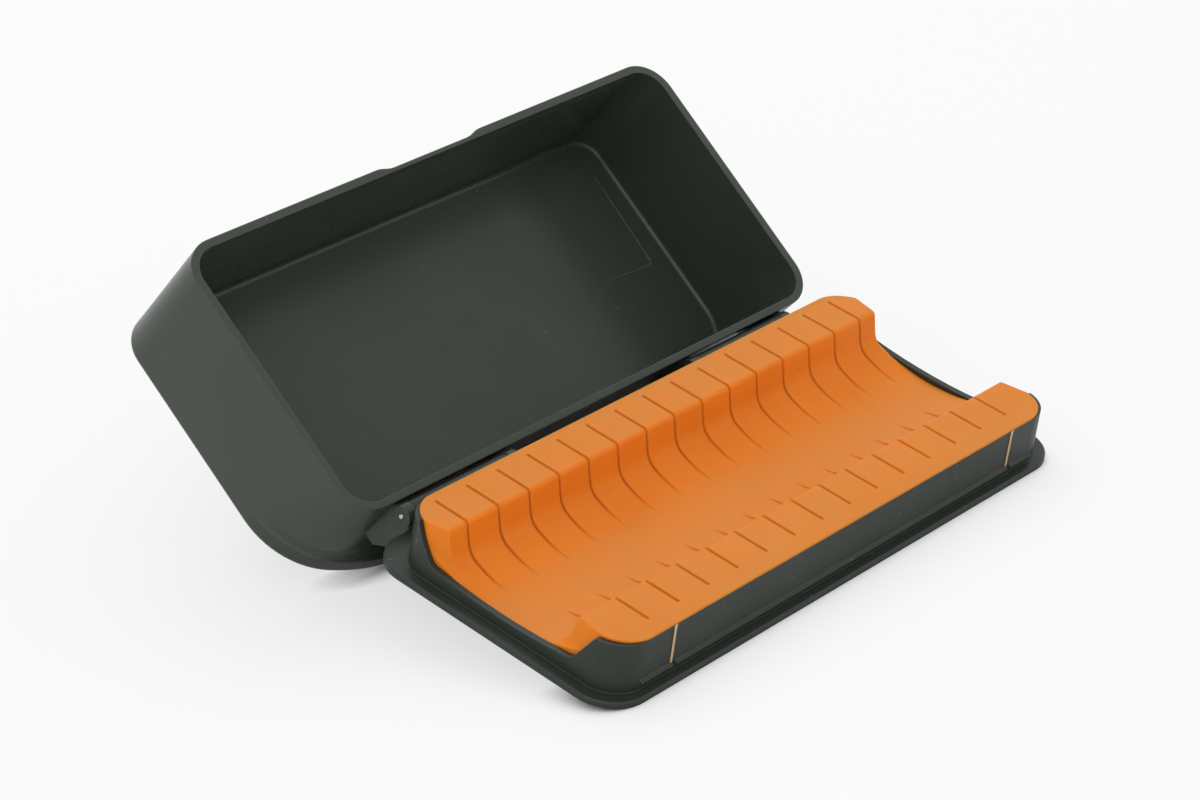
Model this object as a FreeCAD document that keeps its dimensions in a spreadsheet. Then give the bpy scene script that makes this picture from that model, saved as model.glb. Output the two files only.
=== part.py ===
"""Hook storage box, open and standing like a tent: tray, rubber insert, deep lid and two hinge pins.

The tray, the insert and the pins are drawn in the tray's frame: X along the hinge, Y from the front edge to the
hinge, Z up from the underside of the flange. The lid is drawn in the same frame as if it were closed. The last
step swings the lid open to its stop and leans everything on the table, with Z up.
"""
import FreeCAD, Part
import math
import os
import Sketcher

# Driving dimensions in millimetres and degrees
SIZES = {
    "flange_length": 140.0,
    "flange_width": 63.1,
    "flange_thickness": 1.38,
    "flange_corner": 8.7,
    "edge_bevel": 0.25,
    "collar_end_margin": 3.0,
    "collar_front_margin": 2.35,
    "collar_rear_margin": 4.85,
    "collar_height": 10.65,
    "collar_wall": 1.1,
    "collar_corner": 7.1,
    "collar_draft": 1.6,
    "bead_level": 1.52,
    "bead_height": 1.2,
    "bead_proud": 0.45,
    "bead_end_margin": 6.4,
    "bead_gap": 1.1,
    "tongue_end_margin": 14.9,
    "tongue_width": 0.55,
    "tongue_proud": 0.12,
    "fit_gap": 0.05,
    "lap_thickness": 0.5,
    "trough_shift": 1.0,
    "trough_bed": 1.15,
    "trough_bed_radius": 34.0,
    "trough_foot_radius": 4.5,
    "trough_half": 15.7,
    "trough_lean": 14.0,
    "half_drop": 3.1,
    "ledge_round": 1.0,
    "end_rise": 1.1,
    "end_bed_radius": 130.0,
    "insert_end_radius": 45.0,
    "end_foot_radius": 2.5,
    "end_half": 20.5,
    "end_lean": 33.0,
    "end_flare": 1.2,
    "slit_end_margin": 6.37,
    "slit_width": 0.75,
    "slit_depth": 1.6,
    "slit_edge_margin": 2.0,
    "slit_front_margin": 3.9,
    "slit_fade": 4.2,
    "slit_front_fade": 5.6,
    "far_slits": 15,
    "near_slits": 14,
    "hinge_back": 2.0,
    "hinge_level": 3.385,
    "open_angle": 148.56,
    "knuckle_radius": 2.33,
    "arm_radius": 2.45,
    "arm_width": 2.3,
    "arm_end_margin": 12.6,
    "arm_spacing": 29.4,
    "arm_height": 11.8,
    "arm_face_height": 7.7,
    "arm_shoulder": 2.5,
    "side_gap": 0.25,
    "pin_radius": 0.6,
    "pin_play": 0.05,
    "pin_chamfer": 0.15,
    "stop_gap": 0.03,
    "rim_gap": 0.03,
    "lid_depth": 30.07,
    "lid_wall": 1.8,
    "lid_front_wall": 1.7,
    "lid_rear_wall": 1.6,
    "lid_top_wall": 1.8,
    "lid_end_gap": 0.2,
    "lid_front_gap": 0.5,
    "lid_rear_margin": 0.6,
    "front_lean": 0.7,
    "lid_corner": 7.75,
    "lid_rear_corner": 14.3,
    "hollow_rear_corner": 11.8,
    "lid_round": 1.4,
    "inner_round": 1.1,
    "lip_thickness": 4.57,
    "lip_flare": 3.65,
    "lip_reach": 4.6,
    "lip_corner": 18.7,
    "lip_start_margin": 16.6,
    "lip_bow": 42.0,
    "recess_depth": 0.84,
    "recess_half": 10.6,
    "recess_run": 4.6,
    "recess_height": 7.0,
    "groove_depth": 0.45,
    "groove_height": 0.9,
    "groove_slope": 1.6,
    "groove_overrun": 0.6,
}

doc = FreeCAD.newDocument("hook_storage_box")
sheet = doc.addObject("Spreadsheet::Sheet", "Sizes")
for row, (alias, number) in enumerate(SIZES.items(), start=1):
    sheet.set(f"A{row}", alias)
    sheet.set(f"B{row}", str(number))
    sheet.setAlias(f"B{row}", alias)
doc.recompute()


class Size:
    """A size worked out from the sheet: its value and the expression that ties it to the cells."""

    def __init__(self, value, text):
        self.value = float(value)
        self.text = text

    @staticmethod
    def of(other):
        return other if isinstance(other, Size) else Size(other, repr(float(other)))

    def joined(self, sign, other, value):
        return Size(value, f"({self.text} {sign} {Size.of(other).text})")

    def __add__(self, other):
        return self.joined("+", other, self.value + Size.of(other).value)

    def __sub__(self, other):
        return self.joined("-", other, self.value - Size.of(other).value)

    def __mul__(self, other):
        return self.joined("*", other, self.value * Size.of(other).value)

    def __truediv__(self, other):
        return self.joined("/", other, self.value / Size.of(other).value)

    def __float__(self):
        return self.value


class Cells:
    """The sheet's cells by name, each as a Size."""

    def __getattr__(self, alias):
        return Size(sheet.get(alias), f"Sizes.{alias}")


cell = Cells()

# Levels and places that several pieces share
flange_half = cell.flange_length / 2
flange_edge = cell.flange_width / 2
collar_half = flange_half - cell.collar_end_margin
collar_front = flange_edge - cell.collar_front_margin
collar_rear = flange_edge - cell.collar_rear_margin
collar_top = cell.flange_thickness + cell.collar_height
foot_spread = float(cell.collar_height) * math.tan(math.radians(float(cell.collar_draft)))
cavity_half = collar_half - cell.collar_wall
cavity_front = collar_front - cell.collar_wall
cavity_rear = collar_rear - cell.collar_wall
cavity_corner = cell.collar_corner - cell.collar_wall
ledge_top = collar_top + cell.lap_thickness
trough_centre = (collar_rear - collar_front) / 2 + cell.trough_shift
hinge_y = flange_edge + cell.hinge_back
hinge_z = cell.hinge_level
mouth_level = cell.flange_thickness + cell.rim_gap
lid_top = mouth_level + cell.lid_depth
lid_floor = lid_top - cell.lid_top_wall
lid_inner_half = collar_half.value + foot_spread + float(cell.lid_end_gap)
lid_half = lid_inner_half + float(cell.lid_wall)
lid_inner_front = collar_front.value + foot_spread + float(cell.lid_front_gap)
lid_front = lid_inner_front + float(cell.lid_front_wall)
arm_outer_place = flange_half - cell.arm_end_margin
arm_inner_place = arm_outer_place - cell.arm_spacing
knuckle_end = arm_outer_place - cell.arm_width / 2 - cell.side_gap
knuckle_start = arm_inner_place + cell.arm_width / 2 + cell.side_gap
bead_end = collar_half - cell.bead_end_margin
tongue_place = collar_half - cell.tongue_end_margin
slit_pitch = (cavity_half - cell.slit_end_margin) * 2 / (cell.far_slits - 1)
groove_level = cell.flange_thickness + cell.bead_level - cell.bead_height / 2


def vector(x, y, z=0.0):
    return FreeCAD.Vector(float(x), float(y), float(z))


def bind(feature, name, size):
    """Set a property of a feature and tie it to the sheet."""
    setattr(feature, name, float(size))
    feature.setExpression(name, size.text)


def new_body(name):
    body = doc.addObject("PartDesign::Body", name)
    body.Label = name
    return body


def new_sketch(body, name, plane, height=0.0):
    """An empty sketch on one of the body's own origin planes, raised along the plane's normal."""
    sketch = body.newObject("Sketcher::SketchObject", name)
    support = next(item for item in body.Origin.OriginFeatures if item.Role == plane)
    sketch.AttachmentSupport = [(support, "")]
    sketch.MapMode = "FlatFace"
    sketch.AttachmentOffset = FreeCAD.Placement(vector(0, 0, height), FreeCAD.Rotation())
    return sketch


def line(start, end):
    return Part.LineSegment(vector(*start), vector(*end))


def arc(start, middle, end):
    return Part.Arc(vector(*start), vector(*middle), vector(*end))


def draw(sketch, edges):
    """Add a closed chain of edges and join each one's end to the next one's start."""
    for edge in edges:
        sketch.addGeometry(edge, False)
    for index, edge in enumerate(edges):
        following = (index + 1) % len(edges)
        here = edge.EndPoint if isinstance(edge, Part.LineSegment) else edge.toShape().Vertexes[-1].Point
        ahead = edges[following]
        first = ahead.StartPoint
        if (first - here).Length > 1e-6:
            raise ValueError(f"{sketch.Name}: edge {index} does not meet edge {following}")


def rounded_rectangle(sketch, half, front, rear, front_corner, rear_corner):
    """Outline from -half to half in X and from -front to rear in Y, with every size tied to the sheet."""
    x, a, b = float(half), -float(front), float(rear)
    p, r = float(front_corner), float(rear_corner)
    quarter = math.pi / 2
    corners = [
        (vector(x - p, a + p), p, -quarter),
        (vector(x - r, b - r), r, 0.0),
        (vector(r - x, b - r), r, quarter),
        (vector(p - x, a + p), p, 2 * quarter),
    ]
    ends = [(vector(p - x, a), vector(x - p, a)), (vector(x, a + p), vector(x, b - r)),
            (vector(x - r, b), vector(r - x, b)), (vector(-x, b - r), vector(-x, a + p))]
    for (start, end), (centre, radius, angle) in zip(ends, corners):
        sketch.addGeometry(Part.LineSegment(start, end), False)
        circle = Part.Circle(centre, vector(0, 0, 1), radius)
        sketch.addGeometry(Part.ArcOfCircle(circle, angle, angle + quarter), False)
    start, end, origin = 1, 2, -1
    for side in range(4):
        edge, corner, following = 2 * side, 2 * side + 1, (2 * side + 2) % 8
        sketch.addConstraint(Sketcher.Constraint("Tangent", edge, end, corner, start))
        sketch.addConstraint(Sketcher.Constraint("Tangent", corner, end, following, start))
        sketch.addConstraint(Sketcher.Constraint("Vertical" if side % 2 else "Horizontal", edge))
    sketch.addConstraint(Sketcher.Constraint("Equal", 1, 7))
    sketch.addConstraint(Sketcher.Constraint("Equal", 3, 5))
    tied = [
        ("right", Sketcher.Constraint("DistanceX", origin, 1, 2, start, x), half),
        ("left", Sketcher.Constraint("DistanceX", 6, start, origin, 1, x), half),
        ("front", Sketcher.Constraint("DistanceY", 0, start, origin, 1, -a), front),
        ("rear", Sketcher.Constraint("DistanceY", origin, 1, 4, start, b), rear),
        ("front_corner", Sketcher.Constraint("Radius", 1, p), front_corner),
        ("rear_corner", Sketcher.Constraint("Radius", 3, r), rear_corner),
    ]
    for name, constraint, size in tied:
        index = sketch.addConstraint(constraint)
        sketch.renameConstraint(index, name)
        if isinstance(size, Size):
            sketch.setExpression(f"Constraints.{name}", size.text)


def pad(body, sketch, length, name, taper=0.0):
    feature = body.newObject("PartDesign::Pad", name)
    feature.Profile = sketch
    if isinstance(length, Size):
        bind(feature, "Length", length)
    else:
        feature.Length = length
    feature.TaperAngle = taper
    return feature


def pocket(body, sketch, length, name, centred=False, reverse=False):
    """Cut a sketch's outline out of the body and make sure that something was removed."""
    doc.recompute()
    before = body.Shape.Volume
    feature = body.newObject("PartDesign::Pocket", name)
    feature.Profile = sketch
    if isinstance(length, Size):
        bind(feature, "Length", length)
    else:
        feature.Length = length
    if centred:
        feature.SideType = "Symmetric"
    feature.Reversed = reverse
    doc.recompute()
    if body.Shape.Volume >= before:
        raise ValueError(f"{name} cuts nothing")
    return feature


def repeat(body, feature, name, count, pitch):
    """Repeat a feature along X."""
    pattern = body.newObject("PartDesign::LinearPattern", name)
    pattern.Originals = [feature]
    axis = next(item for item in body.Origin.OriginFeatures if item.Role == "X_Axis")
    pattern.Direction = (axis, [""])
    pattern.Occurrences = int(float(count))
    bind(pattern, "Length", pitch * (int(float(count)) - 1))
    body.Tip = pattern
    return pattern


def dress_edges(body, kind, name, size, chosen):
    """Round or bevel the edges of the body's tip that the test chooses."""
    doc.recompute()
    base = body.Tip
    edges = [f"Edge{i}" for i, edge in enumerate(base.Shape.Edges, start=1) if chosen(edge)]
    feature = body.newObject(kind, name)
    feature.Base = (base, edges)
    bind(feature, "Radius" if kind.endswith("Fillet") else "Size", size)
    doc.recompute()
    return feature


def lies_at(edge, level, tolerance=1e-4):
    box = edge.BoundBox
    return abs(box.ZMin - level) < tolerance and abs(box.ZMax - level) < tolerance


class Trough:
    """Section of a trough, symmetric about its centre: steep flanks, foot arcs and a gently curved bed.

    half is the flank's distance from the centre at the given level, and lean its angle from upright.
    """

    def __init__(self, centre, bed, bed_radius, foot_radius, half, level, lean):
        self.centre = float(centre)
        self.bed = float(bed)
        self.bed_radius = float(bed_radius)
        self.foot_radius = float(foot_radius)
        self.half = float(half)
        self.level = float(level)
        lean = math.radians(float(lean))
        self.along = (math.sin(lean), math.cos(lean))
        self.outward = (math.cos(lean), -math.sin(lean))

    def flank_at(self, level, depth=0.0):
        """Half width of the flank at a level, or of a line that lies deeper behind it."""
        start = (self.half + depth * self.outward[0], self.level + depth * self.outward[1])
        return start[0] + (level - start[1]) * self.along[0] / self.along[1]

    def foot_centre(self):
        """Centre of the arc that touches both the flank and the bed."""
        radius = self.foot_radius
        px = self.half - radius * self.outward[0]
        pz = self.level - radius * self.outward[1]
        cz = self.bed + self.bed_radius
        reach = self.bed_radius - radius
        b = px * self.along[0] + (pz - cz) * self.along[1]
        c = px * px + (pz - cz) ** 2 - reach * reach
        step = -b - math.sqrt(b * b - c)
        return px + step * self.along[0], pz + step * self.along[1]

    def foot(self, depth=0.0):
        """Start, middle and end of the foot arc, or of one that lies deeper behind it."""
        fx, fz = self.foot_centre()
        dx, dz = fx, fz - (self.bed + self.bed_radius)
        length = math.hypot(dx, dz)
        down = (dx / length, dz / length)
        mx, mz = self.outward[0] + down[0], self.outward[1] + down[1]
        length = math.hypot(mx, mz)
        radius = self.foot_radius + depth
        directions = (self.outward, (mx / length, mz / length), down)
        return [(fx + radius * ux, fz + radius * uz) for ux, uz in directions]

    def outline(self, top, rounding, above):
        """Closed outline that cuts the trough from above, with rounded shoulders at the top."""
        cx = self.flank_at(top - rounding, rounding)
        cz = top - rounding
        mx, mz = -self.outward[0], 1 - self.outward[1]
        length = math.hypot(mx, mz)
        shoulder = [(cx, top), (cx + rounding * mx / length, cz + rounding * mz / length),
                    (cx - rounding * self.outward[0], cz - rounding * self.outward[1])]
        foot = self.foot()
        edges = [line((cx, above), shoulder[0]), arc(*shoulder), line(shoulder[2], foot[0]), arc(*foot)]
        mirrored = [[(-x, z) for x, z in reversed(points)] for points in (foot, shoulder)]
        edges.append(arc(foot[2], (0, self.bed), mirrored[0][0]))
        edges.append(arc(*mirrored[0]))
        edges.append(line(mirrored[0][2], mirrored[1][0]))
        edges.append(arc(*mirrored[1]))
        edges.append(line(mirrored[1][2], (-cx, above)))
        edges.append(line((-cx, above), (cx, above)))
        for edge in edges:
            edge.translate(vector(self.centre, 0))
        return edges


trough = Trough(trough_centre, cell.flange_thickness + cell.trough_bed, cell.trough_bed_radius,
                cell.trough_foot_radius, cell.trough_half, ledge_top - cell.half_drop, cell.trough_lean)
end_cut = Trough(trough_centre, cell.flange_thickness + cell.trough_bed + cell.end_rise, cell.end_bed_radius,
                 cell.end_foot_radius, cell.end_half, collar_top - cell.half_drop, cell.end_lean)
insert_end = Trough(trough_centre, cell.flange_thickness + cell.trough_bed, cell.insert_end_radius,
                    cell.end_foot_radius, cell.end_half, collar_top - cell.half_drop, cell.end_lean)


def make_tray():
    """Flange plate with the raised collar, the front snap bead and the two hinge knuckles."""
    body = new_body("tray")
    outline = new_sketch(body, "flange_outline", "XY_Plane")
    rounded_rectangle(outline, flange_half, flange_edge, flange_edge, cell.flange_corner, cell.flange_corner)
    pad(body, outline, cell.flange_thickness, "flange")
    top = float(cell.flange_thickness)
    dress_edges(body, "PartDesign::Chamfer", "flange_bevel", cell.edge_bevel, lambda edge: lies_at(edge, top))

    collar = new_sketch(body, "collar_outline", "XY_Plane", float(collar_top))
    rounded_rectangle(collar, collar_half, collar_front, collar_rear, cell.collar_corner, cell.collar_corner)
    wall = pad(body, collar, cell.collar_height + cell.flange_thickness / 2, "collar", float(cell.collar_draft))
    wall.Reversed = True
    cavity = new_sketch(body, "cavity_outline", "XY_Plane", float(collar_top))
    rounded_rectangle(cavity, cavity_half, cavity_front, cavity_rear, cavity_corner, cavity_corner)
    pocket(body, cavity, cell.collar_height, "cavity")

    dip = new_sketch(body, "end_wall_outline", "YZ_Plane")
    draw(dip, end_cut.outline(float(collar_top), float(cell.ledge_round), float(collar_top) + 1))
    pocket(body, dip, cell.flange_length, "end_wall_dips", centred=True)

    add_bead(body)
    add_tongue_slots(body)
    add_knuckles(body)
    return body


def add_bead(body):
    """Snap bead along the collar's front, with a gap beside each tongue slot."""
    level = float(cell.flange_thickness + cell.bead_level)
    half = float(cell.bead_height) / 2
    face = -(float(collar_front) + foot_spread)
    crest = face - float(cell.bead_proud)
    flat = half / 3
    ends = float(bead_end)
    place = float(tongue_place)
    slot = float(cell.tongue_width) / 2
    gap = slot + float(cell.bead_gap)
    for number, (start, end) in enumerate([(-ends, slot - place), (gap - place, place + slot), (place + gap, ends)]):
        section = new_sketch(body, f"bead_section_{number + 1}", "YZ_Plane", start)
        root = face + 1.0
        corners = [(root, level - half), (face, level - half), (crest, level - flat),
                   (crest, level + flat), (face, level + half), (root, level + half)]
        draw(section, [line(corners[i - 1], corners[i]) for i in range(len(corners))])
        pad(body, section, end - start, f"bead_{number + 1}")


def tongue_foot():
    """Level of the lower end of the tongues and their slots, on top of the bead."""
    return cell.flange_thickness + cell.bead_level + cell.bead_height / 2


def add_tongue_slots(body):
    """Two narrow slots in the collar's front wall for the insert's tongues."""
    wide = float(cell.tongue_width) / 2 + float(cell.fit_gap)
    low = float(tongue_foot())
    for number, place in enumerate((-float(tongue_place), float(tongue_place))):
        slot = new_sketch(body, f"tongue_slot_outline_{number + 1}", "XZ_Plane", float(cavity_front) - 0.5)
        corners = [(place - wide, low), (place + wide, low), (place + wide, float(ledge_top)),
                   (place - wide, float(ledge_top))]
        draw(slot, [line(corners[i - 1], corners[i]) for i in range(4)])
        pocket(body, slot, cell.collar_wall * 3, f"tongue_slot_{number + 1}", reverse=True)


def add_knuckles(body):
    """Hinge knuckle on each side, a barrel that a short web joins to the flange's rear edge."""
    y, z, radius = float(hinge_y), float(hinge_z), float(cell.knuckle_radius)
    root = float(flange_edge) - 0.7
    top = float(cell.flange_thickness)
    meet = y - math.sqrt(radius ** 2 - (z - top) ** 2)
    for number, start in enumerate((-float(knuckle_end), float(knuckle_start))):
        section = new_sketch(body, f"knuckle_section_{number + 1}", "YZ_Plane", start)
        draw(section, [line((meet, top), (root, top)), line((root, top), (root, top * 0.2)),
                       line((root, top * 0.2), (y, z - radius)),
                       arc((y, z - radius), (y + radius, z), (y, z + radius)),
                       arc((y, z + radius), (y - radius, z), (meet, top))])
        pad(body, section, knuckle_end - knuckle_start, f"knuckle_{number + 1}")
        bore = new_sketch(body, f"knuckle_bore_outline_{number + 1}", "YZ_Plane", start)
        bore.addGeometry(Part.Circle(vector(y, z), vector(0, 0, 1), float(cell.pin_radius)), False)
        pocket(body, bore, knuckle_end - knuckle_start, f"knuckle_bore_{number + 1}", reverse=True)


def make_insert():
    """Rubber insert: two slotted ledges beside a trough, a lap over the collar's long walls and two tongues."""
    body = new_body("hook_insert")
    play = cell.fit_gap
    block = new_sketch(body, "block_outline", "XY_Plane", float(cell.flange_thickness))
    rounded_rectangle(block, cavity_half - play, cavity_front - play, cavity_rear - play,
                      cavity_corner - play, cavity_corner - play)
    pad(body, block, ledge_top - cell.flange_thickness, "block")
    lap = new_sketch(body, "lap_outline", "XY_Plane", float(collar_top))
    rounded_rectangle(lap, cavity_half - play, collar_front, collar_rear, cell.collar_corner, cell.collar_corner)
    pad(body, lap, cell.lap_thickness, "lap")

    bed = new_sketch(body, "trough_section", "YZ_Plane")
    above = float(ledge_top) + 1
    draw(bed, trough.outline(float(ledge_top), float(cell.ledge_round), above))
    straight = cavity_half - cell.end_flare
    pocket(body, bed, straight * 2, "trough", centred=True)
    for side, name in ((-1, "left"), (1, "right")):
        add_end_flare(body, side, name, above)
    add_tongues(body)
    add_slits(body, above)
    return body


def add_end_flare(body, side, name, above):
    """Blend from the trough's section to the wider dip of the collar's end wall."""
    inner = new_sketch(body, f"flare_inner_{name}", "YZ_Plane", side * float(cavity_half - cell.end_flare))
    draw(inner, trough.outline(float(ledge_top), float(cell.ledge_round), above))
    outer = new_sketch(body, f"flare_outer_{name}", "YZ_Plane", side * float(cavity_half))
    draw(outer, insert_end.outline(float(ledge_top), float(cell.ledge_round), above))
    doc.recompute()
    loft = body.newObject("PartDesign::SubtractiveLoft", f"flare_{name}")
    loft.Profile = inner
    loft.Sections = [outer]
    loft.Ruled = True
    doc.recompute()


def add_tongues(body):
    """Tongues that fill the slots in the collar's front wall and stand a little proud of it."""
    low = float(tongue_foot()) + float(cell.fit_gap)
    face = -float(collar_front)
    spread = foot_spread * (float(collar_top) - low) / float(cell.collar_height)
    proud = float(cell.tongue_proud)
    root = -float(cavity_front) + 1.0
    for number, place in enumerate((-float(tongue_place), float(tongue_place))):
        start = place - float(cell.tongue_width) / 2
        section = new_sketch(body, f"tongue_section_{number + 1}", "YZ_Plane", start)
        corners = [(root, low), (root, float(collar_top) + 0.3), (face - proud, float(collar_top) + 0.3),
                   (face - spread - proud, low)]
        draw(section, [line(corners[i - 1], corners[i]) for i in range(4)])
        pad(body, section, cell.tongue_width, f"tongue_{number + 1}")


def slit_outline(outer_end, fade, above, side):
    """Outline of a slit across a ledge: over its top, down the flank and out into the trough's bed."""
    depth = float(cell.slit_depth)
    floor = float(ledge_top) - depth
    foot = trough.foot(depth)
    reach = fade
    bed = trough.bed + trough.bed_radius - math.sqrt(trough.bed_radius ** 2 - reach ** 2)
    corner = (trough.flank_at(floor, depth), floor)
    points = [(outer_end, above), (outer_end, floor), corner, foot[0]]
    points += [foot[1], foot[2], (reach, bed), (reach, above)]
    edges = [line(points[i - 1], points[i]) for i in range(len(points))]
    if side < 0:
        for edge in edges:
            edge.mirror(vector(0, 0), vector(0, 1))
    for edge in edges:
        edge.translate(vector(trough.centre, 0))
    return edges


def add_slits(body, above):
    """Hook slits across both ledges, the near ones set half a pitch to the side of the far ones."""
    rows = [
        ("far", 1, cell.far_slits, collar_rear - cell.slit_edge_margin - trough_centre, cell.slit_fade),
        ("near", -1, cell.near_slits, collar_front + trough_centre - cell.slit_front_margin, cell.slit_front_fade),
    ]
    for name, side, count, outer_end, fade in rows:
        first = -float(slit_pitch) * (float(count) - 1) / 2 - float(cell.slit_width) / 2
        sketch = new_sketch(body, f"{name}_slit_outline", "YZ_Plane", first)
        draw(sketch, slit_outline(float(outer_end), float(fade), above, side))
        slit = pocket(body, sketch, cell.slit_width, f"{name}_slit", reverse=True)
        repeat(body, slit, f"{name}_slits", count, slit_pitch)
        doc.recompute()


def lid_outline(half, front, nose, rear, corner, bow, start):
    """Plan outline of the lid: round front corners, and rear corners of two arcs that can bow outwards.

    start is where the sides end, corner the radius beside them and bow the radius of the second arc.
    """
    side_centre = (half - corner, start)
    bow_centre = side_centre
    angle = junction_angle
    if bow > corner:
        drop = start - (rear - bow)
        reach = math.sqrt((bow - corner) ** 2 - drop ** 2)
        bow_centre = (side_centre[0] - reach, rear - bow)
        angle = math.atan2(drop, reach)
    end = (bow_centre[0], rear)

    def on_arc(centre, radius, turn):
        return centre[0] + radius * math.cos(turn), centre[1] + radius * math.sin(turn)

    meet = on_arc(bow_centre, bow, angle)
    side = [(half, start), on_arc(side_centre, corner, angle / 2), meet]
    back = [meet, on_arc(bow_centre, bow, (angle + math.pi / 2) / 2), end]
    snout = (half - nose, nose - front)
    fore = [(half - nose, -front), on_arc(snout, nose, -math.pi / 4), (half, nose - front)]

    def flipped(points):
        return [(-x, y) for x, y in reversed(points)]

    edges = [arc(*fore), line(fore[2], side[0]), arc(*side), arc(*back), line(end, (-end[0], end[1]))]
    for points in (flipped(back), flipped(side)):
        edges.append(arc(*points))
    mirrored = flipped(fore)
    edges.append(line((-half, start), mirrored[0]))
    edges.append(arc(*mirrored))
    edges.append(line(mirrored[2], fore[0]))
    return edges


lid_rear = float(flange_edge) - float(cell.lid_rear_margin)
rear_corner = float(cell.lid_rear_corner)
lip_start = lid_rear - float(cell.lip_start_margin)
lip_rear = lid_rear + float(cell.lip_reach)
lip_level = float(lid_top) - float(cell.lip_thickness)
flare_level = lip_level - float(cell.lip_flare)
lip_bow_drop = lip_start - (lip_rear - float(cell.lip_bow))
junction_angle = math.asin(lip_bow_drop / (float(cell.lip_bow) - float(cell.lip_corner)))


def front_at(level):
    """Distance of the front wall's outer face from the middle at a level, as the wall leans back."""
    return lid_front - (level - float(mouth_level)) * math.tan(math.radians(float(cell.front_lean)))


def bowed_outline(level, share):
    """Outline between the plain rear wall, share 0, and the full lip, share 1."""
    corner = rear_corner + share * (float(cell.lip_corner) - rear_corner)
    bow = rear_corner + share * (float(cell.lip_bow) - rear_corner)
    rear = lid_rear + share * float(cell.lip_reach)
    start = lid_rear - rear_corner + share * (lip_start - lid_rear + rear_corner)
    return lid_outline(lid_half, front_at(level), float(cell.lid_corner), rear, corner, bow, start)


def plain_outline(level, corner):
    """Outline of the outer walls, with the same radius at both rear arcs."""
    return lid_outline(lid_half, front_at(level), float(cell.lid_corner), lid_rear, corner, corner, lid_rear - corner)


def loft(body, kind, name, sections, ruled):
    """Loft through outlines given as pairs of a level and the edges at that level."""
    sketches = []
    for number, (level, edges) in enumerate(sections):
        sketch = new_sketch(body, f"{name}_outline_{number + 1}", "XY_Plane", level)
        draw(sketch, edges)
        sketches.append(sketch)
    doc.recompute()
    feature = body.newObject(kind, name)
    feature.Profile = sketches[0]
    feature.Sections = sketches[1:]
    feature.Ruled = ruled
    doc.recompute()
    return feature


def make_lid():
    """Deep lid: shell with a bowed finger lip, thumb recess, snap groove and four hinge arms."""
    body = new_body("lid")
    mouth = float(mouth_level)
    corner = float(cell.lid_corner)
    loft(body, "PartDesign::AdditiveLoft", "shell",
         [(mouth, plain_outline(mouth, corner)), (flare_level, plain_outline(flare_level, rear_corner))], True)
    steps = 3
    flare = []
    for step in range(steps + 1):
        turn = math.pi / 2 * step / steps
        level = flare_level + float(cell.lip_flare) * math.sin(turn)
        flare.append((level, bowed_outline(level, 1 - math.cos(turn))))
    loft(body, "PartDesign::AdditiveLoft", "lip_underside", flare, True)
    lip = new_sketch(body, "lip_outline", "XY_Plane", lip_level)
    draw(lip, bowed_outline(lip_level, 1.0))
    pad(body, lip, cell.lip_thickness, "lip")
    top = float(lid_top)
    dress_edges(body, "PartDesign::Fillet", "lid_round", cell.lid_round, lambda edge: lies_at(edge, top))

    add_arms(body)
    floor = float(lid_floor)
    rear = lid_rear - float(cell.lid_rear_wall)
    inner = corner - float(cell.lid_wall)
    outlines = []
    for name, level, rear_radius in (("mouth", mouth, inner), ("hollow", float(collar_top), cell.hollow_rear_corner)):
        outline = new_sketch(body, f"{name}_outline", "XY_Plane", level)
        rounded_rectangle(outline, lid_inner_half, lid_inner_front, rear, inner, rear_radius)
        outlines.append(outline)
    doc.recompute()
    widening = body.newObject("PartDesign::SubtractiveLoft", "mouth")
    widening.Profile = outlines[0]
    widening.Sections = [outlines[1]]
    widening.Ruled = True
    pocket(body, outlines[1], lid_floor - collar_top, "hollow", reverse=True)
    dress_edges(body, "PartDesign::Fillet", "floor_round", cell.inner_round, lambda edge: lies_at(edge, floor))
    add_thumb_recess(body)
    add_snap_groove(body)
    return body


def add_arms(body):
    """Four hinge arms on the rear wall, each with a barrel round the hinge axis and a bore for the pin."""
    y, z, radius = float(hinge_y), float(hinge_z), float(cell.arm_radius)
    root = lid_rear - float(cell.lid_rear_wall) / 2
    face = y + stop_face()
    high = z + float(cell.arm_height)
    shoulder = z + float(cell.arm_face_height)
    neck = lid_rear + float(cell.arm_shoulder)
    places = [-float(arm_outer_place), -float(arm_inner_place),
              float(arm_inner_place), float(arm_outer_place)]
    for number, place in enumerate(places):
        start = place - float(cell.arm_width) / 2
        section = new_sketch(body, f"arm_section_{number + 1}", "YZ_Plane", start)
        draw(section, [line((root, z), (root, high)), line((root, high), (neck, high)),
                       line((neck, high), (face, shoulder)), line((face, shoulder), (face, z)),
                       line((face, z), (y + radius, z)),
                       arc((y + radius, z), (y, z - radius), (y - radius, z)), line((y - radius, z), (root, z))])
        pad(body, section, cell.arm_width, f"arm_{number + 1}")
        bore = new_sketch(body, f"arm_bore_outline_{number + 1}", "YZ_Plane", start)
        hole = float(cell.pin_radius + cell.pin_play)
        bore.addGeometry(Part.Circle(vector(y, z), vector(0, 0, 1), hole), False)
        pocket(body, bore, cell.arm_width, f"arm_bore_{number + 1}", reverse=True)


def stop_face():
    """Distance of the arms' outer face from the hinge axis, so that it meets the flange's edge when open."""
    turn = math.radians(180 - float(cell.open_angle))
    across = float(cell.hinge_back)
    down = float(hinge_z) - float(cell.flange_thickness)
    bevel = float(cell.edge_bevel)
    corners = [(across, down + bevel), (across + bevel, down)]
    return min(x * math.cos(turn) + z * math.sin(turn) for x, z in corners) - float(cell.stop_gap)


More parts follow.
